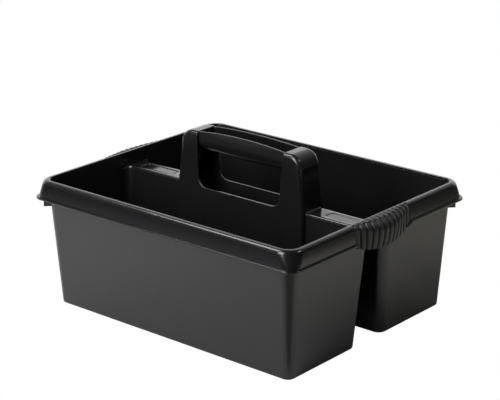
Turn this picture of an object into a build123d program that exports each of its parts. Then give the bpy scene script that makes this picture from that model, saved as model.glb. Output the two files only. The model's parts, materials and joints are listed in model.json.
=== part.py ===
from build123d import *
import math
import os

os.makedirs("parts", exist_ok=True)

# A two-bin cleaning caddy moulded in black polypropylene, in millimetres. The origin is the
# centre of the base, X runs along the long side, -Y is the front and +Z is up. The regions of
# the moulding meet face to face and are kept as separate pieces.

# Bins
wall = 2.2
floor_half_x = 180.0
floor_half_y = 145.1
wall_slope = 0.0677
floor_corner = 9.0
top_corner = 16.0
floor_edge_round = 2.5
well_floor_round = 4.5

# Gap between the bins, and the ledge that closes it
gap_half_floor = 23.0
gap_half_ledge = 12.0
gap_corner = 11.0
ledge_top = 141.2
end_plate_half = 25.0
panel_length = 52.0
panel_shift = 3.0
panel_width = 15.0
panel_corner = 2.0
panel_depth = 0.6

# Rim
rim_top = 158.0
rim_edge_round = 0.8
lip_half_x = 200.8
lip_half_y = 165.9
lip_corner = 15.0
lip_bottom = 134.8
lip_height = 2.8
lip_edge_round = 1.0
lip_projection = 2.6
skirt_middle = 147.0
skirt_lean = 2.9
skirt_curve = 1.7
skirt_corner_low = 13.0
skirt_corner_top = 21.0
shoulder_round = 5.2

# Handle tower
tower_top = 208.8
tower_half_depth = 18.2
tower_slope = 0.0345
tower_edge_round = 5.2
post_half_top = 92.2
post_half_ledge = 97.8
post_half_floor = 103.3
post_flare_top = 186.0
post_bend_top = 55.0
post_bend_ledge = 90.0
cap_corner = 16.0
window_bottom = 141.5
window_half_bottom = 62.5
window_half_top = 66.5
window_corner = 13.0
window_edge_round = 0.8

# Grip between the posts
grip_top_end = 208.3
grip_top_middle = 211.6
grip_bottom_end = 184.2
grip_bottom_middle = 181.8
grip_half_end = 14.4
grip_half_middle = 12.6
grip_half_widest = 15.0
grip_widest_share = 0.52
grip_edge_round = 0.8

# Ribbed side grips
side_grip_half = 52.0
side_grip_reach = 208.0
side_grip_end_reach = 198.2
side_grip_bottom = 122.5
side_grip_end_bottom = 133.0
side_grip_shoulder = 13.0
side_grip_curl = 3.5
rib_count = 12
rib_depth = 1.6
rib_crown = 0.8
rib_share = 0.68

# Corner gussets
gusset_thickness = 2.4
gusset_bottom = 124.0
gusset_inset = 6.4

# Derived sizes
rim_seat = rim_top - wall
ledge_under = ledge_top - wall
gap_slope = (gap_half_floor - gap_half_ledge) / ledge_under
window_slope = (window_half_top - window_half_bottom) / (tower_top - window_bottom)
seat_half_x = floor_half_x + wall_slope * rim_seat
grip_end = window_half_top + wall
beyond = 10.0
overrun = 1.0


def half_x(height):
    """Outer face of the end walls at a height."""
    return floor_half_x + wall_slope * height


def half_y(height):
    """Outer face of the front and rear walls at a height."""
    return floor_half_y + wall_slope * height


def corner(height):
    """Outer corner radius of the walls at a height."""
    return floor_corner + (top_corner - floor_corner) * height / rim_top


def gap_half(height):
    """Half width of the gap between the bins at a height."""
    return gap_half_floor - gap_slope * height


def window_half(height):
    """Half width of the finger opening at a height."""
    return window_half_bottom + window_slope * (height - window_bottom)


def skirt_outline(height, inset):
    """Outline of the rim's skirt at a height, set in from its face. It leans in and its corners widen."""
    share = (height - lip_bottom) / (rim_top - lip_bottom)
    reach = lip_projection + inset + skirt_lean * share**skirt_curve
    skirt_corner = skirt_corner_low + (skirt_corner_top - skirt_corner_low) * share
    RectangleRounded(2 * (lip_half_x - reach), 2 * (lip_half_y - reach), skirt_corner - inset)


def arc_radius(half_chord, rise):
    """Radius of the arc that rises by this much over this half chord."""
    return (half_chord**2 + rise**2) / (2 * rise)


# Outer form of both bins and of the band above the gap, without hollows.
with BuildPart() as outer_form:
    for height in (0, ledge_under):
        with BuildSketch(Plane.XY.offset(height)) as bin_outline:
            with Locations((0, -(half_y(height) + gap_half(height)) / 2)):
                Rectangle(2 * half_x(height), half_y(height) - gap_half(height))
            fillet(bin_outline.vertices().group_by(Axis.Y)[0], corner(height))
            fillet(bin_outline.vertices().group_by(Axis.Y)[-1], gap_corner)
    loft(ruled=True)
    fillet(outer_form.faces().sort_by(Axis.Z)[0].edges(), floor_edge_round)
    mirror(about=Plane.XZ)
    for height in (ledge_under, rim_seat):
        with BuildSketch(Plane.XY.offset(height)):
            RectangleRounded(2 * half_x(height), 2 * half_y(height), corner(height))
    loft(ruled=True)

# Space inside the walls above the ledge, up to and through the rim.
with BuildPart() as mouth:
    for height in (ledge_top, rim_top):
        with BuildSketch(Plane.XY.offset(height)):
            inside_x = half_x(height) - wall
            inside_y = half_y(height) - wall
            RectangleRounded(2 * inside_x, 2 * inside_y, corner(height) - wall)
    loft(ruled=True)

# The two wells below the ledge.
with BuildPart() as wells:
    for height in (wall, ledge_top):
        with BuildSketch(Plane.XY.offset(height)) as well_outline:
            near = gap_half(height) + wall
            far = half_y(height) - wall
            with Locations((0, -(far + near) / 2)):
                Rectangle(2 * (half_x(height) - wall), far - near)
            fillet(well_outline.vertices().group_by(Axis.Y)[0], corner(height) - wall)
            fillet(well_outline.vertices().group_by(Axis.Y)[-1], gap_corner - wall)
    loft(ruled=True)
    fillet(wells.faces().sort_by(Axis.Z)[0].edges(), well_floor_round)
    mirror(about=Plane.XZ)

# The open channel under the ledge, between the bins.
with BuildPart() as channel:
    with BuildSketch(Plane.YZ):
        with BuildLine():
            Polyline(
                (-gap_half(-beyond), -beyond),
                (-gap_half_ledge, ledge_under),
                (gap_half_ledge, ledge_under),
                (gap_half(-beyond), -beyond),
                close=True,
            )
        make_face()
    extrude(amount=post_half_floor + beyond, both=True)


def tower_block(inset, bottom):
    """Solid form of the handle tower, set in from its outer faces: side view crossed with end view."""
    top = tower_top - inset
    half_depth = tower_half_depth - inset
    foot_depth = half_depth + tower_slope * (top - bottom)
    foot_flare = (post_half_floor - post_half_ledge) / ledge_top * bottom
    with BuildPart() as block:
        with BuildSketch(Plane.XZ):
            with BuildLine():
                side = [
                    (0, bottom),
                    (post_half_floor - foot_flare - inset, bottom),
                    (post_half_ledge - inset, ledge_top),
                    (post_half_top - inset, post_flare_top),
                    (post_half_top - inset, top),
                    (0, top),
                ]
                bends = [0, post_bend_ledge, post_bend_top, cap_corner - inset]
                outline = FilletPolyline(*side, radius=bends)
                mirror(outline, about=Plane.YZ)
            make_face()
        extrude(amount=2 * tower_half_depth, both=True)
        with BuildSketch(Plane.YZ):
            with BuildLine():
                Polyline(
                    (-foot_depth, bottom),
                    (-half_depth, top),
                    (half_depth, top),
                    (foot_depth, bottom),
                    close=True,
                )
            make_face()
        extrude(amount=2 * post_half_floor, both=True, mode=Mode.INTERSECT)
        faces = block.faces().sort_by(Axis.Y)
        outline_edges = faces[0].edges() + faces[-1].edges()
        above_foot = outline_edges.filter_by(lambda edge: edge.center().Z > bottom + overrun)
        fillet(above_foot, tower_edge_round - inset)
    return block.part


tower_outside = tower_block(0, 0)
tower_inside = tower_block(wall, -beyond)

# Shape of the finger opening, carried up past the top of the tower.
with BuildPart() as window:
    with BuildSketch(Plane.XZ) as window_view:
        with BuildLine():
            high = tower_top + beyond
            Polyline(
                (-window_half_bottom, window_bottom),
                (-window_half(high), high),
                (window_half(high), high),
                (window_half_bottom, window_bottom),
                close=True,
            )
        make_face()
        fillet(window_view.vertices().group_by(Axis.Y)[0], window_corner)
    extrude(amount=2 * tower_half_depth, both=True)

# Walls of both bins and the band above the gap as one form, before they are divided.
with BuildPart() as shell:
    add(outer_form.part)
    add(wells.part, mode=Mode.SUBTRACT)
    add(mouth.part, mode=Mode.SUBTRACT)
    add(tower_outside, mode=Mode.SUBTRACT)

# Region that belongs to the ledges: above the gap, between the bins' inner corners.
with BuildPart() as ledge_zone:
    with BuildSketch(Plane.XY.offset(ledge_under)):
        Rectangle(2 * lip_half_x, 2 * end_plate_half)
    extrude(amount=rim_seat - ledge_under)

with BuildPart() as front_bin:
    add(shell.part)
    add(ledge_zone.part, mode=Mode.SUBTRACT)
    split(bisect_by=Plane.XZ, keep=Keep.TOP)

with BuildPart() as rear_bin:
    mirror(front_bin.part, about=Plane.XZ)

with BuildPart() as right_ledge:
    add(shell.part)
    add(ledge_zone.part, mode=Mode.INTERSECT)
    split(bisect_by=Plane.YZ, keep=Keep.TOP)
    panel_centre = (post_half_ledge + half_x(ledge_top) - wall) / 2 + panel_shift
    with BuildSketch(Plane.XY.offset(ledge_top)):
        with Locations((panel_centre, 0)):
            RectangleRounded(panel_length, panel_width, panel_corner)
    extrude(amount=-panel_depth, mode=Mode.SUBTRACT)

with BuildPart() as left_ledge:
    mirror(right_ledge.part, about=Plane.YZ)


def grip_at(station, end, middle):
    """A grip size that runs from its end value to its middle value along the grip."""
    return end + (middle - end) * (1 - (station / window_half_top) ** 2)


def grip_form(thickness, lift):
    """Closed body of the trough, lofted through three stations and set in by a wall thickness."""
    with BuildPart() as form:
        for station in (-grip_end, 0, grip_end):
            top = grip_at(station, grip_top_end, grip_top_middle)
            bottom = grip_at(station, grip_bottom_end, grip_bottom_middle) + thickness
            half_top = grip_at(station, grip_half_end, grip_half_middle) - thickness
            widest = grip_half_widest - thickness
            belly = bottom + grip_widest_share * (top - bottom)
            with BuildSketch(Plane.YZ.offset(station)):
                with BuildLine():
                    EllipticalCenterArc((0, belly), widest, belly - bottom, 180, arc_size=180)
                    TangentArc((widest, belly), (half_top, top), tangent=(0, 1))
                    TangentArc((-widest, belly), (-half_top, top), tangent=(0, 1))
                    if lift:
                        Line((-half_top, top), (-half_top, top + lift))
                        Line((half_top, top), (half_top, top + lift))
                    Line((-half_top, top + lift), (half_top, top + lift))
                make_face()
        loft()
    return form.part


# Plates that close the ends of the grip's trough, between each post's inner face and its hollow.
# Their underside follows the trough and then the height of its belly out to the tower's walls.
with BuildPart() as end_plates:
    add(grip_form(0, beyond))
    end_belly = grip_bottom_end + grip_widest_share * (grip_top_end - grip_bottom_end)
    with BuildSketch(Plane.XY.offset(end_belly)):
        Rectangle(2 * grip_end, 2 * (tower_half_depth + beyond))
    extrude(amount=tower_top - end_belly)
    with BuildSketch(Plane.XZ):
        with BuildLine():
            Polyline(
                (window_half(grip_bottom_middle), grip_bottom_middle),
                (window_half(grip_bottom_middle) + wall, grip_bottom_middle),
                (window_half(tower_top) + wall, tower_top),
                (window_half(tower_top), tower_top),
                close=True,
            )
        plate = make_face()
        mirror(plate, about=Plane.YZ)
    extrude(amount=2 * tower_half_depth, both=True, mode=Mode.INTERSECT)

with BuildPart() as tower_hollow:
    add(tower_inside)
    add(end_plates.part, mode=Mode.SUBTRACT)

with BuildPart() as handle_tower:
    add(tower_outside)
    add(window.part, mode=Mode.SUBTRACT)
    fillet(handle_tower.edges(Select.NEW), window_edge_round)
    add(tower_hollow.part, mode=Mode.SUBTRACT)
    add(channel.part, mode=Mode.SUBTRACT)


grip_outside = grip_form(0, 0)
grip_inside = grip_form(wall, beyond)

with BuildPart() as handle_grip:
    add(grip_outside)
    add(grip_inside, mode=Mode.SUBTRACT)
    add(window.part, mode=Mode.INTERSECT)
    long_edges = handle_grip.edges().filter_by(lambda edge: edge.length > window_half_top)
    rim_edges = long_edges.filter_by_position(Axis.Z, grip_top_end, grip_top_middle)
    fillet(rim_edges, grip_edge_round)

# Outer form of the rim's top band, rounded shoulder and skirt, and the space under it.
with BuildPart() as rim_outside:
    for height in (lip_bottom, skirt_middle, rim_top):
        with BuildSketch(Plane.XY.offset(height)):
            skirt_outline(height, 0)
    loft()
    fillet(rim_outside.faces().sort_by(Axis.Z)[-1].edges(), shoulder_round)

with BuildPart() as rim_underside:
    for height in (lip_bottom, skirt_middle, rim_seat):
        with BuildSketch(Plane.XY.offset(height)):
            skirt_outline(height, wall)
    loft()
    fillet(rim_underside.faces().sort_by(Axis.Z)[-1].edges(), shoulder_round - wall)

with BuildPart() as rolled_rim:
    with BuildSketch(Plane.XY.offset(lip_bottom)):
        RectangleRounded(2 * lip_half_x, 2 * lip_half_y, lip_corner)
    extrude(amount=lip_height)
    lip_faces = rolled_rim.faces().filter_by(Plane.XY)
    fillet(lip_faces.edges(), lip_edge_round)
    add(rim_outside.part)
    add(rim_underside.part, mode=Mode.SUBTRACT)
    add(mouth.part, mode=Mode.SUBTRACT)
    inner_edges = rolled_rim.faces().sort_by(Axis.Z)[-1].inner_wires()[0].edges()
    fillet(inner_edges, rim_edge_round)
    with BuildSketch(Plane.XY.offset(lip_bottom - beyond)):
        for side in (-1, 1):
            with Locations((side * (seat_half_x + beyond), 0)):
                Rectangle(2 * beyond, 2 * side_grip_half)
    extrude(amount=rim_top - lip_bottom + 2 * beyond, mode=Mode.SUBTRACT)

# The rim's own section, carried on behind the side grip.
with BuildPart() as side_grip_band:
    add(rim_outside.part)
    with BuildSketch(Plane.XY.offset(lip_bottom)):
        with Locations((lip_half_x, 0)):
            Rectangle(2 * (lip_half_x - half_x(0)), 2 * side_grip_half)
    extrude(amount=rim_top - lip_bottom, mode=Mode.INTERSECT)

# Crescent of the side grip: one arc from end to end of the grip, and its centre on the X axis.
crescent_radius = arc_radius(side_grip_half, side_grip_reach - side_grip_end_reach)
crescent_centre = side_grip_reach - crescent_radius
crescent_angle = math.asin(side_grip_half / crescent_radius)


def crescent_point(share, radius):
    """Point of an arc around the crescent's centre; share runs from -1 to 1 along the grip."""
    angle = share * crescent_angle
    return (crescent_centre + radius * math.cos(angle), radius * math.sin(angle))


def side_grip_profile(inset, setback, low):
    """Body of revolution round the crescent's centre: flat top, round shoulder, face curling in below."""
    top = rim_top - inset
    reach = side_grip_reach - setback - inset
    shoulder_low = rim_top - side_grip_shoulder
    shoulder_start = side_grip_reach - setback - side_grip_shoulder
    with BuildPart() as form:
        with BuildSketch(Plane.XZ):
            with BuildLine():
                RadiusArc((shoulder_start, top), (reach, shoulder_low), side_grip_shoulder - inset)
                face = TangentArc((reach, shoulder_low), (reach - side_grip_curl, low), tangent=(0, -1))
                Polyline(face @ 1, (crescent_centre, low), (crescent_centre, top), (shoulder_start, top))
            make_face()
        revolve(axis=Axis((crescent_centre, 0, 0), (0, 0, 1)), revolution_arc=360)
    return form.part


rib_tops = side_grip_profile(0, 0, side_grip_bottom)
between_ribs = side_grip_profile(0, rib_depth, side_grip_bottom)
side_grip_inside = side_grip_profile(wall, rib_depth, side_grip_bottom - overrun)

with BuildPart() as side_grip_hollow:
    add(side_grip_inside)
    with BuildSketch(Plane.XY.offset(side_grip_bottom - beyond)):
        Rectangle(2 * (side_grip_reach + beyond), 2 * (side_grip_half - 2 * wall))
    extrude(amount=rim_top - side_grip_bottom + beyond, mode=Mode.INTERSECT)

# Ribs over the shoulder and down the face, each with a crowned outer side.
with BuildPart() as ribs:
    with BuildSketch(Plane.XY.offset(side_grip_bottom)):
        rib_root = crescent_radius - side_grip_shoulder - 2 * rib_depth
        rib_side = crescent_radius - rib_crown
        for rib in range(rib_count):
            middle = (2 * rib + 1) / rib_count - 1
            start = middle - rib_share / rib_count
            finish = middle + rib_share / rib_count
            with BuildLine():
                ThreePointArc(
                    crescent_point(start, rib_side),
                    crescent_point(middle, crescent_radius),
                    crescent_point(finish, rib_side),
                )
                Polyline(
                    crescent_point(finish, rib_side),
                    crescent_point(finish, rib_root),
                    crescent_point(start, rib_root),
                    crescent_point(start, rib_side),
                )
            make_face()
    extrude(amount=rim_top - side_grip_bottom)
    add(rib_tops, mode=Mode.INTERSECT)

with BuildPart() as right_side_grip:
    with BuildSketch(Plane.XY.offset(side_grip_bottom)):
        with Locations((side_grip_reach, 0)):
            Rectangle(2 * (side_grip_reach - half_x(0)), 2 * side_grip_half)
    extrude(amount=rim_top - side_grip_bottom)
    add(between_ribs, mode=Mode.INTERSECT)
    add(ribs.part)
    with BuildSketch(Plane.YZ):
        with BuildLine():
            Polyline(
                (-side_grip_half, side_grip_end_bottom),
                (-side_grip_half, rim_top),
                (side_grip_half, rim_top),
                (side_grip_half, side_grip_end_bottom),
            )
            ThreePointArc(
                (-side_grip_half, side_grip_end_bottom),
                (0, side_grip_bottom),
                (side_grip_half, side_grip_end_bottom),
            )
        make_face()
    extrude(amount=side_grip_reach + beyond, mode=Mode.INTERSECT)
    add(side_grip_band.part)
    add(outer_form.part, mode=Mode.SUBTRACT)
    with BuildSketch(Plane.XY.offset(rim_seat)):
        with Locations((seat_half_x - beyond, 0)):
            Rectangle(2 * beyond, 2 * side_grip_half)
    extrude(amount=wall, mode=Mode.SUBTRACT)
    add(side_grip_hollow.part, mode=Mode.SUBTRACT)

with BuildPart() as left_side_grip:
    mirror(right_side_grip.part, about=Plane.YZ)

# Plates on the diagonals under the rim, from the wall out to the skirt and down past the lip.
with BuildPart() as corner_gussets:
    add(rim_underside.part)
    with BuildSketch(Plane.XY.offset(gusset_bottom)):
        gusset_reach = 2 * gusset_inset
        RectangleRounded(2 * lip_half_x - gusset_reach, 2 * lip_half_y - gusset_reach, skirt_corner_low)
    extrude(amount=lip_bottom - gusset_bottom)
    with BuildSketch(Plane.XY.offset(gusset_bottom)):
        with Locations(Location((lip_half_x - lip_corner, lip_half_y - lip_corner), 45)):
            Rectangle(lip_half_y, gusset_thickness)
    extrude(amount=rim_seat - gusset_bottom, mode=Mode.INTERSECT)
    add(outer_form.part, mode=Mode.SUBTRACT)
    mirror(about=Plane.XZ)
    mirror(about=Plane.YZ)

front_bin.part.label = "front_bin"
export_step(front_bin.part, "parts/front_bin.step")

rear_bin.part.label = "rear_bin"
export_step(rear_bin.part, "parts/rear_bin.step")

left_ledge.part.label = "left_ledge"
export_step(left_ledge.part, "parts/left_ledge.step")

right_ledge.part.label = "right_ledge"
export_step(right_ledge.part, "parts/right_ledge.step")

handle_tower.part.label = "handle_tower"
export_step(handle_tower.part, "parts/handle_tower.step")

handle_grip.part.label = "handle_grip"
export_step(handle_grip.part, "parts/handle_grip.step")

rolled_rim.part.label = "rolled_rim"
export_step(rolled_rim.part, "parts/rolled_rim.step")

left_side_grip.part.label = "left_side_grip"
export_step(left_side_grip.part, "parts/left_side_grip.step")

right_side_grip.part.label = "right_side_grip"
export_step(right_side_grip.part, "parts/right_side_grip.step")

corner_gussets.part.label = "corner_gussets"
export_step(corner_gussets.part, "parts/corner_gussets.step")
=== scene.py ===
import json
import math

import bmesh
import bpy
from mathutils import Matrix, Vector


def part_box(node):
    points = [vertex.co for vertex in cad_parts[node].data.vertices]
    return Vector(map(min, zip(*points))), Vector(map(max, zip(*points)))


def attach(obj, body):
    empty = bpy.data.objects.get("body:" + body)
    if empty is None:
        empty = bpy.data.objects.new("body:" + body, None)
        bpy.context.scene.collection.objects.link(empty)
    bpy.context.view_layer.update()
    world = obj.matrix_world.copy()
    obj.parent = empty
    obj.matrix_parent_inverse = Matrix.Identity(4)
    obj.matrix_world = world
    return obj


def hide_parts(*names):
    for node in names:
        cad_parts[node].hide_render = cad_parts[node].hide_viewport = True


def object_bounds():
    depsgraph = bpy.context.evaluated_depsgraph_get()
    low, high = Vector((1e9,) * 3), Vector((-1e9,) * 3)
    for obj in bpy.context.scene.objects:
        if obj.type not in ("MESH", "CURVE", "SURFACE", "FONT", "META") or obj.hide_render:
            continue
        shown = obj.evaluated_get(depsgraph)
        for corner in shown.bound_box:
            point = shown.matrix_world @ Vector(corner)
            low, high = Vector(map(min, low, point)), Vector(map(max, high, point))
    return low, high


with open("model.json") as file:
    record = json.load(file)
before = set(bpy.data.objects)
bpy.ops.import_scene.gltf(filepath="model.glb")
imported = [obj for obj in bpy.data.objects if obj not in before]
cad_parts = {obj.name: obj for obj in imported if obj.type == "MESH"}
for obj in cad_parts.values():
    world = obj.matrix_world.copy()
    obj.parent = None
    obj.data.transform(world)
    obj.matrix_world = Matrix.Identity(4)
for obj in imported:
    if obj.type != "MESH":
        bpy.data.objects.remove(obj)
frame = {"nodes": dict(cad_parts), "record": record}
cad_low, cad_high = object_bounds()

MM = 0.001
WHITE = (1.0, 1.0, 1.0, 1.0)
QUARTER_TURN = math.pi / 2
SHARP_ANGLE = math.radians(40)

# Camera. Distances are in metres, the lens and the sensor in mm.
CAMERA_AZIMUTH = math.radians(40.41)
CAMERA_ELEVATION = math.radians(19.09)
CAMERA_ROLL = math.radians(-0.23)
CAMERA_DISTANCE = 2.072
CAMERA_AIM_ACROSS = 0.0006
CAMERA_AIM_UP = 0.125
CAMERA_LENS = 122.3
SENSOR_WIDTH = 36.0
VIEW_LIMIT = 50.0

# Directions on the floor, seen from the camera.
AWAY = Vector((-math.sin(CAMERA_AZIMUTH), math.cos(CAMERA_AZIMUTH), 0))
RIGHTWARD = Vector((math.cos(CAMERA_AZIMUTH), math.sin(CAMERA_AZIMUTH), 0))

# Finishes: tone, roughness, size and depth of the grain in metres, and strength of the scuffs.
FINISHES = {
    "bin_plastic": (0.0050, 0.30, 0.45 * MM, 0.010 * MM, 0.6),
    "ledge_plastic": (0.0070, 0.12, 0.60 * MM, 0.001 * MM, 0.4),
    "handle_plastic": (0.0070, 0.23, 0.50 * MM, 0.003 * MM, 0.5),
    "rim_plastic": (0.0050, 0.18, 0.50 * MM, 0.003 * MM, 0.6),
    "side_grip_plastic": (0.0050, 0.50, 0.45 * MM, 0.006 * MM, 0.6),
}

# Marks on the plastic. A stretch is a turn and a scale; limits are where a mark starts and is full.
FLOW_STRETCH = (0, 0.25, 0.1), (9, 9, 26)
LONG_SCRATCH = (0.5, 0.35, 0.2), (60, 900, 900)
CROSS_SCRATCH = (0.2, 0.7, 1.1), (900, 70, 900)
SCRATCH_LIMITS = 0.70, 0.78
PATCH_SCALE = 34.0
PATCH_LIMITS = 0.50, 0.68
CLOUD_SCALE = 22.0
CLOUD_LIMITS = 0.35, 0.65
EDGE_RADIUS = 0.7 * MM
RUBBED_LIMITS = 0.995, 0.90

# What the marks do to the tone, the roughness and the height of the grain.
TONE_SPREAD, TONE_BASE = 0.35, 0.82
SCUFF_TONE, RUBBED_TONE = 0.020, 0.010
BLUE_SHARE = 1.04
FLOW_ROUGHNESS, SCUFF_ROUGHNESS, RUBBED_ROUGHNESS = 0.10, 0.20, 0.06
SCUFF_HEIGHT = -0.3
PLASTIC_IOR = 1.5

# Studio glow. A ramp is its start and end, then the values there (0 and 1 if left out).
BACKDROP_BEHIND = 0.55, 0.85
BACKDROP_TOP = 0.52, 0.20
BACKDROP_GLOW = 0.40, 0.22, 1.75, 2.7
UPPER_BEHIND = 0.15, 0.75
UPPER_GLOW = 0.95, 0.45, 0.0, 1.45
ROOM_GLOW = -0.8, 0.6, 0.30, 0.10

# Floor, in metres, with the same kind of ramps. Its colour holds painted shade, a painted warm and
# cool cast and a painted glow; the object mirrors these painted tones.
FLOOR_SPAN = 8.0
FLOOR_GAP = 0.0004
REAR_RIGHT = (0.62, 0.78, 0)
# Painted shade: the floor's colour darkens to the right, far to the rear right and far to the
# front.
FLOOR_PAINTED_SHADE = -0.30, 0.05, 0.86, 0.72
REAR_PAINTED_SHADE = 0.55, 0.85, 1.0, 0.30
FRONT_PAINTED_SHADE = -0.64, -0.35, 0.15, 1.0
# Painted shade in a sector past the object's near corner, towards the front right.
CORNER = (0.19, -0.155, 0)
CORNER_HEADING = (0.74, -0.67, 0)
CORNER_PAINTED_SHADE = 0.60, 0.90, 1.0, 0.35
# Painted warm light at the rear and painted cool light at the front, tinting the floor's colour.
PAINTED_WARM_REAR = 0.05, 0.35
PAINTED_COOL_FRONT = -0.35, -0.64
RED_TINT, BLUE_TINT = 0.02, -0.08
# Painted glow: the floor gives off light on the right side, fading far to the rear, though it is no
# lamp.
PAINTED_GLOW_ACROSS = 0.21, 0.40, 0.0, 0.20
PAINTED_GLOW_REAR = 0.60, 0.90, 1.0, 0.0
PAINTED_GLOW_COLOR = (1.0, 0.98, 0.92, 1.0)

# Softboxes: place and size in metres, and how bright the face looks.
SOFTBOXES = {
    "key": ((-0.16, -1.10, 0.82), (0.6, 1.0), 9.0),
    "left_top": ((-0.50, -0.36, 1.00), (0.40, 0.40), 9.0),
    "rear_right": ((0.74, 0.41, 1.06), (0.26, 0.26), 9.0),
    "front_strip": ((0.03, -1.20, 0.70), (0.45, 0.80), 2.4),
}
SOFTBOX_AIM = Vector((0, 0, 0.12))

# Bin walls, in mm: thickness, and how far out the outside of an end wall is at each height.
WALL = 2.2
WALL_FOOT, WALL_SLOPE = 180.0, 0.0677

# Side grips, in mm. Their box is that of the CAD node; the right one is at positive x.
grip_low, grip_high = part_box("right_side_grip")
RIM_TOP = grip_high[2] / MM
GRIP_REACH = grip_high[0] / MM
GRIP_HALF = grip_high[1] / MM
GRIP_LOW = grip_low[2] / MM
GRIP_LOW_END = GRIP_LOW + 10.5
GRIP_SEAT = 190.55
GRIP_STATIONS = 208

# The section at a grip's ends, where it meets the rim, and at its middle. Swell blends the two.
BAND_REACH = 196.2
BAND_SHOULDER = 5.2
BAND_FOOT = 198.2
GRIP_SHOULDER_DEPTH = 13.5
GRIP_SHOULDER_WIDTH = 8.5
GRIP_FOOT = GRIP_REACH - 3.5
SWELL_POWER = 1.25
TOP_FALL = 0.6
FOLD_TURN = math.radians(40)
FACE_POWER, FACE_POWER_GAIN = 0.75, 1.25
FLAT_MINIMUM = 0.3
FOOT_ROUND = 1.6
FOOT_LIFT = 0.9
LIP_REACH, LIP_RUN, LIP_START = 2.4, 9.0, 0.82
ROOF_SETBACK, ROOF_MINIMUM = 1.6, 0.6
CLOSING_START, CLOSING_END = 5.5, 4.0

# Ribs. The grooves between them point at the centre of the crescent that the grip follows.
RIB_COUNT = 12
RIB_CROWN = 1.0
RIB_FADE = 4
GROOVE_DEPTH = 2.3
GROOVE_HALF = 1.9
GROOVE_WIDENING = 1.5
FLAT_GROOVE = 0.22
GROOVE_START, GROOVE_FULL = -3, 2
CRESCENT_RISE = 9.8
GRIP_RADIUS = (GRIP_HALF**2 + CRESCENT_RISE**2) / (2 * CRESCENT_RISE)
GRIP_CENTRE = GRIP_REACH - GRIP_RADIUS
GRIP_ANGLE = math.asin(GRIP_HALF / GRIP_RADIUS)

# Ledges, in mm. Their box is that of the CAD node; the right one is at positive x.
ledge_low, ledge_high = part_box("right_ledge")
LEDGE_UNDER = ledge_low[2] / MM
END_PLATE_HALF = ledge_high[1] / MM
POST_SIDE = ledge_low[0] / MM
LEDGE_TOP = LEDGE_UNDER + WALL
LEDGE_HALF = 14.2
LEDGE_END = WALL_FOOT - WALL + WALL_SLOPE * LEDGE_TOP
LEDGE_ROUND = 2.4
FLARE, FLARE_STEPS = 8.8, 12
WALL_SINK = 0.2
COVE = 1.4
COVE_ROWS = (0, 0.15, 0.35, 0.6, 0.8, 1.0)
PANEL_LENGTH, PANEL_WIDTH, PANEL_CORNER = 52.0, 15.0, 2.0
PANEL_DEPTH, PANEL_SLOPE = 0.6, 0.35
PANEL_MIDDLE = (POST_SIDE + LEDGE_END) / 2 + 3.0
PANEL_APPROACH = 6
PANEL_ROWS = (-0.2, 0.1, PANEL_SLOPE, 0.8, 1.4, 2.2)
LEDGE_LINES = (-9.5, -7.6, -7.4, -7.15, -6.7, -6.1, -5.3, 0, 5.3, 6.1, 6.7, 7.15, 7.4, 7.6, 9.5)
END_PLATE_FACES = (
    (0, 1, 3, 2), (4, 6, 7, 5), (0, 4, 5, 1), (2, 3, 7, 6), (0, 2, 6, 4), (1, 5, 7, 3),
)


class Graph:
    """A node tree with short calls for the nodes that the materials share."""

    def __init__(self, tree):
        tree.nodes.clear()
        self.nodes = tree.nodes
        self.links = tree.links

    def node(self, kind, **settings):
        made = self.nodes.new(kind)
        for name, value in settings.items():
            setattr(made, name, value)
        return made

    def feed(self, socket, value):
        """Link a socket to another one, or set it to a plain value; None leaves it as it is."""
        if isinstance(value, bpy.types.NodeSocket):
            self.links.new(value, socket)
        elif value is not None:
            socket.default_value = value

    def math(self, operation, first, second=None, third=None, clamp=False):
        made = self.node("ShaderNodeMath", operation=operation, use_clamp=clamp)
        for socket, value in zip(made.inputs, (first, second, third)):
            self.feed(socket, value)
        return made.outputs[0]

    def vector_math(self, operation, first, second=None):
        made = self.node("ShaderNodeVectorMath", operation=operation)
        self.feed(made.inputs[0], first)
        self.feed(made.inputs[1], second)
        return made.outputs

    def dot(self, vector, direction):
        return self.vector_math("DOT_PRODUCT", vector, direction)["Value"]

    def ramp(self, value, start, end, low=0.0, high=1.0):
        """Value mapped smoothly from start..end to low..high."""
        made = self.node("ShaderNodeMapRange", interpolation_type="SMOOTHSTEP")
        for socket, number in zip(made.inputs, (value, start, end, low, high)):
            self.feed(socket, number)
        return made.outputs[0]

    def noise(self, vector, scale, detail=2.0, roughness=0.5, distortion=0.0):
        made = self.node("ShaderNodeTexNoise")
        self.feed(made.inputs["Vector"], vector)
        self.feed(made.inputs["Scale"], scale)
        self.feed(made.inputs["Detail"], detail)
        self.feed(made.inputs["Roughness"], roughness)
        self.feed(made.inputs["Distortion"], distortion)
        return made.outputs["Fac"]

    def stretch(self, vector, turn, scale):
        made = self.node("ShaderNodeMapping")
        self.feed(made.inputs["Vector"], vector)
        self.feed(made.inputs["Rotation"], turn)
        self.feed(made.inputs["Scale"], scale)
        return made.outputs[0]

    def rgb(self, red, green, blue):
        made = self.node("ShaderNodeCombineColor")
        for socket, value in zip(made.inputs, (red, green, blue)):
            self.feed(socket, value)
        return made.outputs[0]

    def white_to_camera(self, surface, white, output_kind):
        """Show the camera the white shader and everything else the surface."""
        mix = self.node("ShaderNodeMixShader")
        from_camera = self.node("ShaderNodeLightPath").outputs["Is Camera Ray"]
        for socket, value in zip(mix.inputs, (from_camera, surface, white)):
            self.links.new(value, socket)
        self.links.new(mix.outputs[0], self.node(output_kind).inputs["Surface"])


def new_material(name):
    material = bpy.data.materials.new(name)
    material.use_nodes = True
    return material, Graph(material.node_tree)


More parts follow.
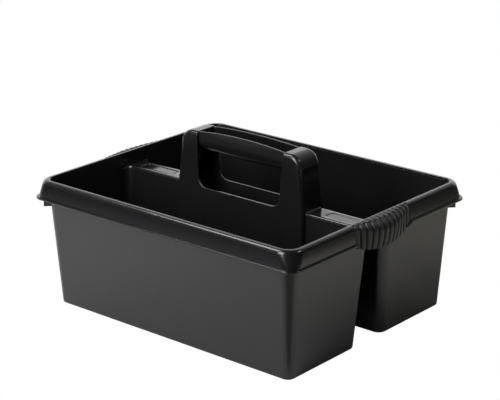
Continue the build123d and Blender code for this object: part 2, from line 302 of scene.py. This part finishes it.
def plastic(name, tone, roughness, grain_size, grain_depth, scuff_amount):
    """Black polypropylene with moulded grain, flow marks, fine scuffs and slightly rubbed edges."""
    material, graph = new_material(name)
    place = graph.node("ShaderNodeTexCoord").outputs["Object"]

    flow = graph.stretch(place, *FLOW_STRETCH)
    flow = graph.noise(flow, 1.0, detail=3.0, roughness=0.55, distortion=0.6)
    cloud = graph.noise(place, CLOUD_SCALE, detail=4.0, roughness=0.6)
    long_scratch = graph.noise(graph.stretch(place, *LONG_SCRATCH), 1.0)
    cross_scratch = graph.noise(graph.stretch(place, *CROSS_SCRATCH), 1.0)
    scratches = graph.math("MAXIMUM", long_scratch, cross_scratch)
    scratches = graph.ramp(scratches, *SCRATCH_LIMITS)
    patches = graph.ramp(graph.noise(place, PATCH_SCALE, detail=3.0), *PATCH_LIMITS)
    scuffs = graph.math("MULTIPLY", graph.math("MULTIPLY", scratches, patches), scuff_amount)

    rounded = graph.node("ShaderNodeBevel", samples=4)
    graph.feed(rounded.inputs["Radius"], EDGE_RADIUS)
    flat = graph.node("ShaderNodeNewGeometry").outputs["Normal"]
    rubbed = graph.ramp(graph.dot(rounded.outputs[0], flat), *RUBBED_LIMITS)
    rubbed = graph.math("MULTIPLY", rubbed, graph.ramp(cloud, *CLOUD_LIMITS))

    shade = graph.math("MULTIPLY_ADD", cloud, TONE_SPREAD * tone, TONE_BASE * tone)
    shade = graph.math("MULTIPLY_ADD", scuffs, SCUFF_TONE, shade)
    shade = graph.math("MULTIPLY_ADD", rubbed, RUBBED_TONE, shade)
    color = graph.rgb(shade, shade, graph.math("MULTIPLY", shade, BLUE_SHARE))

    rough = graph.math("MULTIPLY_ADD", flow, FLOW_ROUGHNESS, roughness - FLOW_ROUGHNESS / 2)
    rough = graph.math("MULTIPLY_ADD", scuffs, SCUFF_ROUGHNESS, rough)
    rough = graph.math("MULTIPLY_ADD", rubbed, RUBBED_ROUGHNESS, rough, clamp=True)

    grain = graph.noise(place, 1 / grain_size, detail=3.0, roughness=0.65)
    grain = graph.math("MULTIPLY_ADD", scuffs, SCUFF_HEIGHT, grain)
    bump = graph.node("ShaderNodeBump")
    graph.feed(bump.inputs["Distance"], grain_depth)
    graph.feed(bump.inputs["Height"], grain)
    graph.feed(bump.inputs["Normal"], rounded.outputs[0])

    shader = graph.node("ShaderNodeBsdfPrincipled")
    graph.feed(shader.inputs["IOR"], PLASTIC_IOR)
    graph.feed(shader.inputs["Base Color"], color)
    graph.feed(shader.inputs["Roughness"], rough)
    graph.feed(shader.inputs["Normal"], bump.outputs[0])
    output = graph.node("ShaderNodeOutputMaterial")
    graph.links.new(shader.outputs[0], output.inputs["Surface"])
    return material


def make_camera():
    back = -AWAY * math.cos(CAMERA_ELEVATION) + Vector((0, 0, math.sin(CAMERA_ELEVATION)))
    roll = Matrix.Rotation(CAMERA_ROLL, 3, back)
    right, up = roll @ RIGHTWARD, roll @ back.cross(RIGHTWARD)
    axes = Matrix((right, up, back)).transposed().to_4x4()
    axes.translation = (
        back * CAMERA_DISTANCE + right * CAMERA_AIM_ACROSS + up * CAMERA_AIM_UP
    )
    data = bpy.data.cameras.new("camera")
    data.lens = CAMERA_LENS
    data.sensor_width = SENSOR_WIDTH
    data.clip_end = VIEW_LIMIT
    camera = bpy.data.objects.new("camera", data)
    camera.matrix_world = axes
    bpy.context.scene.collection.objects.link(camera)
    bpy.context.scene.camera = camera


def make_softbox(name, place, size, radiance):
    """An area light aimed at the handle; its power follows from how bright its face looks."""
    data = bpy.data.lights.new(name, "AREA")
    data.shape = "RECTANGLE"
    data.size, data.size_y = size
    data.energy = radiance * math.pi * size[0] * size[1]
    light = bpy.data.objects.new(name, data)
    light.location = place
    aim = SOFTBOX_AIM - Vector(place)
    light.rotation_euler = aim.to_track_quat("-Z", "Y").to_euler()
    bpy.context.scene.collection.objects.link(light)


def make_world():
    """A bright backdrop behind the object and a dim room around it. The camera sees white."""
    world = bpy.data.worlds.new("studio")
    bpy.context.scene.world = world
    world.use_nodes = True
    graph = Graph(world.node_tree)
    direction = graph.node("ShaderNodeTexCoord").outputs["Generated"]
    height = graph.dot(direction, (0, 0, 1))
    behind = graph.dot(direction, AWAY)
    side = graph.dot(direction, RIGHTWARD)

    backdrop = graph.math(
        "MULTIPLY", graph.ramp(behind, *BACKDROP_BEHIND), graph.ramp(height, *BACKDROP_TOP)
    )
    backdrop = graph.math("MULTIPLY", backdrop, graph.ramp(height, *BACKDROP_GLOW))
    upper = graph.math(
        "MULTIPLY", graph.ramp(behind, *UPPER_BEHIND), graph.ramp(height, *UPPER_GLOW)
    )
    glow = graph.math("MAXIMUM", backdrop, upper)
    glow = graph.math("MAXIMUM", glow, graph.ramp(side, *ROOM_GLOW))

    lit = graph.node("ShaderNodeBackground")
    graph.feed(lit.inputs["Strength"], glow)
    white = graph.node("ShaderNodeBackground")
    graph.feed(white.inputs["Color"], WHITE)
    graph.white_to_camera(lit.outputs[0], white.outputs[0], "ShaderNodeOutputWorld")


def make_floor():
    """Plain pale floor. The camera sees it white; the object sees it lit by the lamps, with painted
    shade that makes it dimmer far away and to the right, painted shade past the near corner, a
    painted warm and cool cast and a painted glow.
    """
    mesh = bpy.data.meshes.new("floor")
    ends = (-FLOOR_SPAN, FLOOR_SPAN)
    mesh.from_pydata([(x, y, 0) for y in ends for x in ends], [], [(0, 1, 3, 2)])
    floor = bpy.data.objects.new("floor", mesh)
    floor.location.z = cad_low.z - FLOOR_GAP
    bpy.context.scene.collection.objects.link(floor)

    painted_light_floor, graph = new_material("painted_light_floor")
    place = graph.node("ShaderNodeTexCoord").outputs["Object"]
    rearward = graph.dot(place, REAR_RIGHT)
    front = graph.dot(place, (0, 1, 0))
    across = graph.dot(place, (1, 0, 0))
    # Painted shade in a sector past the object's near corner.
    from_corner = graph.vector_math("SUBTRACT", place, CORNER)[0]
    heading = graph.vector_math("NORMALIZE", from_corner)[0]
    painted_corner_shade = graph.ramp(graph.dot(heading, CORNER_HEADING), *CORNER_PAINTED_SHADE)

    # Painted shade in the floor's colour: darker to the right, far to the rear right, far to the
    # front and past the near corner.
    tone = graph.ramp(across, *FLOOR_PAINTED_SHADE)
    tone = graph.math("MULTIPLY", tone, graph.ramp(rearward, *REAR_PAINTED_SHADE))
    tone = graph.math("MULTIPLY", tone, graph.ramp(front, *FRONT_PAINTED_SHADE))
    tone = graph.math("MULTIPLY", tone, painted_corner_shade)
    # Painted warm light at the rear and painted cool light at the front.
    painted_warm_cast = graph.math(
        "SUBTRACT", graph.ramp(rearward, *PAINTED_WARM_REAR), graph.ramp(front, *PAINTED_COOL_FRONT)
    )
    red = graph.math("MULTIPLY", tone, graph.math("MULTIPLY_ADD", painted_warm_cast, RED_TINT, 1.0))
    blue = graph.math("MULTIPLY", tone, graph.math("MULTIPLY_ADD", painted_warm_cast, BLUE_TINT, 1.0))
    # Painted glow on the right side, fading far to the rear; it lights the object though the floor
    # is no lamp.
    painted_glow = graph.math(
        "MULTIPLY", graph.ramp(across, *PAINTED_GLOW_ACROSS), graph.ramp(rearward, *PAINTED_GLOW_REAR)
    )

    diffuse = graph.node("ShaderNodeBsdfDiffuse")
    graph.feed(diffuse.inputs["Color"], graph.rgb(red, tone, blue))
    glow = graph.node("ShaderNodeEmission")
    graph.feed(glow.inputs["Color"], PAINTED_GLOW_COLOR)
    graph.feed(glow.inputs["Strength"], graph.math("MULTIPLY", painted_glow, painted_corner_shade))
    matte = graph.node("ShaderNodeAddShader")
    graph.links.new(diffuse.outputs[0], matte.inputs[0])
    graph.links.new(glow.outputs[0], matte.inputs[1])
    white = graph.node("ShaderNodeEmission")
    graph.white_to_camera(matte.outputs[0], white.outputs[0], "ShaderNodeOutputMaterial")
    mesh.materials.append(painted_light_floor)


def between(start, end, share):
    return start + (end - start) * share


def smooth_step(value, start, end):
    share = min(1.0, max(0.0, (value - start) / (end - start)))
    return share * share * (3 - 2 * share)


def joined_loops(loops):
    """Faces that join equal closed loops of points in a row, with a cap at each end."""
    count = len(loops[0])
    faces = [tuple(range(count))]
    for station in range(len(loops) - 1):
        here, ahead = station * count, (station + 1) * count
        for spot in range(count):
            after = (spot + 1) % count
            faces.append((here + spot, here + after, ahead + after, ahead + spot))
    faces.append(tuple((len(loops) - 1) * count + spot for spot in reversed(range(count))))
    return [point for loop in loops for point in loop], faces


def new_piece(name, points, faces, side, slot, node):
    """A closed smooth piece in place of a CAD node, from points in mm; side -1 mirrors it."""
    mesh = bpy.data.meshes.new(name)
    mesh.from_pydata([(side * x * MM, y * MM, z * MM) for x, y, z in points], [], faces)
    shape = bmesh.new()
    shape.from_mesh(mesh)
    bmesh.ops.recalc_face_normals(shape, faces=shape.faces)
    shape.to_mesh(mesh)
    shape.free()
    mesh.polygons.foreach_set("use_smooth", [True] * len(mesh.polygons))
    mesh.set_sharp_from_angle(angle=SHARP_ANGLE)
    mesh.materials.append(finishes[slot])
    piece = bpy.data.objects.new(name, mesh)
    bpy.context.scene.collection.objects.link(piece)
    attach(piece, "root")
    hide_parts(node)


def rib_recess(x, y, half=GROOVE_HALF):
    """How far the surface lies below the rib crowns at a place on a side grip."""
    angle = math.atan2(y, x - GRIP_CENTRE)
    along = (angle / GRIP_ANGLE + 1) * RIB_COUNT / 2
    from_groove = abs(along - round(along)) * 2 * GRIP_HALF / RIB_COUNT
    groove = 0.5 + 0.5 * math.cos(math.pi * min(1.0, from_groove / half))
    crown = (1 - from_groove * RIB_COUNT / GRIP_HALF) ** 2
    fade = smooth_step(abs(y), GRIP_HALF, GRIP_HALF - RIB_FADE)
    return fade * (GROOVE_DEPTH * groove + RIB_CROWN * crown)


def grip_top(y, swell, flat_end, steps=5):
    """The flat of a side grip, from its seat on the rim almost to the fold."""
    points = [(GRIP_SEAT, RIM_TOP)]
    for step in range(1, steps):
        x = between(GRIP_SEAT, flat_end, step / steps)
        fall = TOP_FALL * swell * (step / steps) ** 2
        points.append((x, RIM_TOP - fall - FLAT_GROOVE * rib_recess(x, y)))
    return points


def grip_shoulder(y, swell, flat_end, reach, turn, steps=16):
    """The rounded shoulder, from the fold to where the outer face starts."""
    fold = QUARTER_TURN - FOLD_TURN * swell
    crest = RIM_TOP - TOP_FALL * swell
    points = []
    for step in range(steps + 1):
        angle = fold * (1 - step / steps)
        out = (math.cos(angle) - math.cos(fold)) / (1 - math.cos(fold))
        x = between(flat_end, reach, out)
        z = between(turn, crest, math.sin(angle) / math.sin(fold))
        half = GROOVE_HALF + GROOVE_WIDENING * (1 - step / steps)
        share = between(FLAT_GROOVE, 1, smooth_step(step, GROOVE_START, GROOVE_FULL))
        depth = share * rib_recess(x, y, half)
        points.append((x - depth * math.cos(angle), z - depth * math.sin(angle)))
    return points


def grip_face(y, swell, reach, foot, turn, low, recess, steps=15, foot_steps=4):
    """The outer face and the rounded foot, with the start of the rim's lip near a grip's ends."""
    lip = LIP_REACH * smooth_step(abs(y), GRIP_HALF - LIP_RUN, GRIP_HALF)
    power = FACE_POWER + FACE_POWER_GAIN * swell
    points = []
    for step in range(1, steps):
        drop = step / steps
        x = between(reach, foot, drop**power) + lip * smooth_step(drop, LIP_START, 1.0)
        points.append((x - recess, between(turn, low + FOOT_ROUND, drop)))
    for step in range(foot_steps + 1):
        angle = QUARTER_TURN * step / foot_steps
        x = foot + lip - recess - FOOT_ROUND * (1 - math.cos(angle))
        points.append((x, low + FOOT_ROUND * (1 - math.sin(angle))))
    return points


def grip_inside(y, flat_end, reach, foot, turn, low, steps=8):
    """The hollow inside, from the foot up to the seat; near a grip's ends it closes on the wall."""
    roof_end = max(flat_end - ROOF_SETBACK, GRIP_SEAT + ROOF_MINIMUM)
    inner_reach = reach - GROOVE_DEPTH - WALL
    inner_foot = min(foot, reach) - GROOVE_DEPTH - WALL
    points = []
    for step in range(steps):
        share = step / steps
        points.append((between(inner_foot, inner_reach, share), between(low, turn, share)))
    for step in range(steps + 1):
        angle = QUARTER_TURN * step / steps
        x = between(roof_end, inner_reach, math.cos(angle))
        points.append((x, between(turn, RIM_TOP - WALL, math.sin(angle))))
    points.append((GRIP_SEAT, RIM_TOP - WALL))

    closing = smooth_step(abs(y), GRIP_HALF - CLOSING_START, GRIP_HALF - CLOSING_END)
    for spot, (x, z) in enumerate(points):
        wall_z = between(low, RIM_TOP - WALL, spot / (len(points) - 1))
        wall_x = WALL_FOOT + WALL_SLOPE * wall_z
        points[spot] = (between(x, wall_x, closing), between(z, wall_z, closing))
    return points


def side_grip_loop(y):
    """Cross-section of a side grip at one y: over the top, down the ribs and back up inside."""
    share = abs(y) / GRIP_HALF
    swell = (1 - share * share) ** SWELL_POWER
    reach = between(BAND_REACH, GRIP_REACH, swell)
    width = between(BAND_SHOULDER, GRIP_SHOULDER_WIDTH, swell)
    flat_end = max(reach - width, GRIP_SEAT + FLAT_MINIMUM)
    turn = RIM_TOP - between(BAND_SHOULDER, GRIP_SHOULDER_DEPTH, swell)
    foot = between(BAND_FOOT, GRIP_FOOT, swell)
    recess = rib_recess(reach, y)
    low = between(GRIP_LOW, GRIP_LOW_END, share * share) + FOOT_LIFT * recess
    loop = grip_top(y, swell, flat_end)
    loop += grip_shoulder(y, swell, flat_end, reach, turn)
    loop += grip_face(y, swell, reach, foot, turn, low, recess)
    loop += grip_inside(y, flat_end, reach, foot, turn, low)
    return [(x, y, z) for x, z in loop]


def make_side_grip(name, side, node):
    """Ribbed finger grip: the rim swells out in a crescent, with ribs down its outer side."""
    stations = [2 * station / GRIP_STATIONS - 1 for station in range(GRIP_STATIONS + 1)]
    loops = [side_grip_loop(GRIP_HALF * station) for station in stations]
    new_piece(name, *joined_loops(loops), side, "side_grip_plastic", node)


def panel_drop(x, y):
    """Depth of the ledge's plain recessed panel at a place."""
    over_x = abs(x - PANEL_MIDDLE) - (PANEL_LENGTH / 2 - PANEL_CORNER)
    over_y = abs(y) - (PANEL_WIDTH / 2 - PANEL_CORNER)
    outside = math.hypot(max(over_x, 0), max(over_y, 0)) + min(max(over_x, over_y), 0)
    return PANEL_DEPTH * smooth_step(PANEL_CORNER - outside, 0, PANEL_SLOPE)


def ledge_edge(x, turn, side, rise, steps=5):
    """The underside's edge and the rounded long edge on one side of a ledge, from below."""
    in_plan = side * (LEDGE_HALF + FLARE * (1 - math.cos(turn)))
    points = [(x + FLARE * math.sin(turn), in_plan, LEDGE_UNDER)]
    for step in range(steps + 1):
        angle = QUARTER_TURN * step / steps
        reach = FLARE + LEDGE_ROUND * (1 - math.cos(angle))
        y = side * (LEDGE_HALF + FLARE - reach * math.cos(turn))
        z = LEDGE_TOP - LEDGE_ROUND * (1 - math.sin(angle)) + rise
        points.append((x + reach * math.sin(turn), y, z))
    return points


def ledge_loop(x, turn):
    """Cross-section of a ledge at one x; turn is how far round its flare at the wall it is."""
    middle = x + FLARE * math.sin(turn)
    cove = max(0.0, COVE - (middle - POST_SIDE))
    rise = COVE - math.sqrt(COVE**2 - cove**2)
    top = [(middle, y, LEDGE_TOP - panel_drop(middle, y) + rise) for y in LEDGE_LINES]
    loop = ledge_edge(x, turn, -1, rise) + top + ledge_edge(x, turn, 1, rise)[::-1]
    wall = WALL_FOOT - WALL + WALL_SINK * turn
    return [(min(px, wall + WALL_SLOPE * pz), py, pz) for px, py, pz in loop]


def make_ledge(name, side, node):
    """Glossy strip over the gap with rounded edges and a panel, and the end wall above it."""
    start, finish = PANEL_MIDDLE - PANEL_LENGTH / 2, PANEL_MIDDLE + PANEL_LENGTH / 2
    rows = [POST_SIDE + COVE * share for share in COVE_ROWS]
    rows += [start - PANEL_APPROACH] + [start + row for row in PANEL_ROWS]
    rows += [PANEL_MIDDLE] + [finish - row for row in reversed(PANEL_ROWS)]
    rows.append(LEDGE_END - FLARE)
    loops = [ledge_loop(x, 0) for x in rows]
    for step in range(1, FLARE_STEPS + 1):
        loops.append(ledge_loop(LEDGE_END - FLARE, QUARTER_TURN * step / FLARE_STEPS))
    points, faces = joined_loops(loops)

    first = len(points)
    for y in (-END_PLATE_HALF, END_PLATE_HALF):
        for z in (LEDGE_UNDER, RIM_TOP - WALL):
            for thickness in (WALL, 0):
                points.append((WALL_FOOT + WALL_SLOPE * z - thickness, y, z))
    faces += [tuple(first + corner for corner in face) for face in END_PLATE_FACES]
    new_piece(name, points, faces, side, "ledge_plastic", node)


finishes = {name: plastic(name, *settings) for name, settings in FINISHES.items()}
slots = {part["node"]: part["material_slot"] for part in frame["record"]["subparts"]}
for name, node in frame["nodes"].items():
    node.data.materials.clear()
    node.data.materials.append(finishes[slots[name]])

make_ledge("right_ledge_strip", 1, "right_ledge")
make_ledge("left_ledge_strip", -1, "left_ledge")
make_side_grip("right_ribbed_grip", 1, "right_side_grip")
make_side_grip("left_ribbed_grip", -1, "left_side_grip")

make_camera()
make_world()
make_floor()
for name, settings in SOFTBOXES.items():
    make_softbox(name, *settings)
bpy.context.scene.view_settings.view_transform = "Standard"
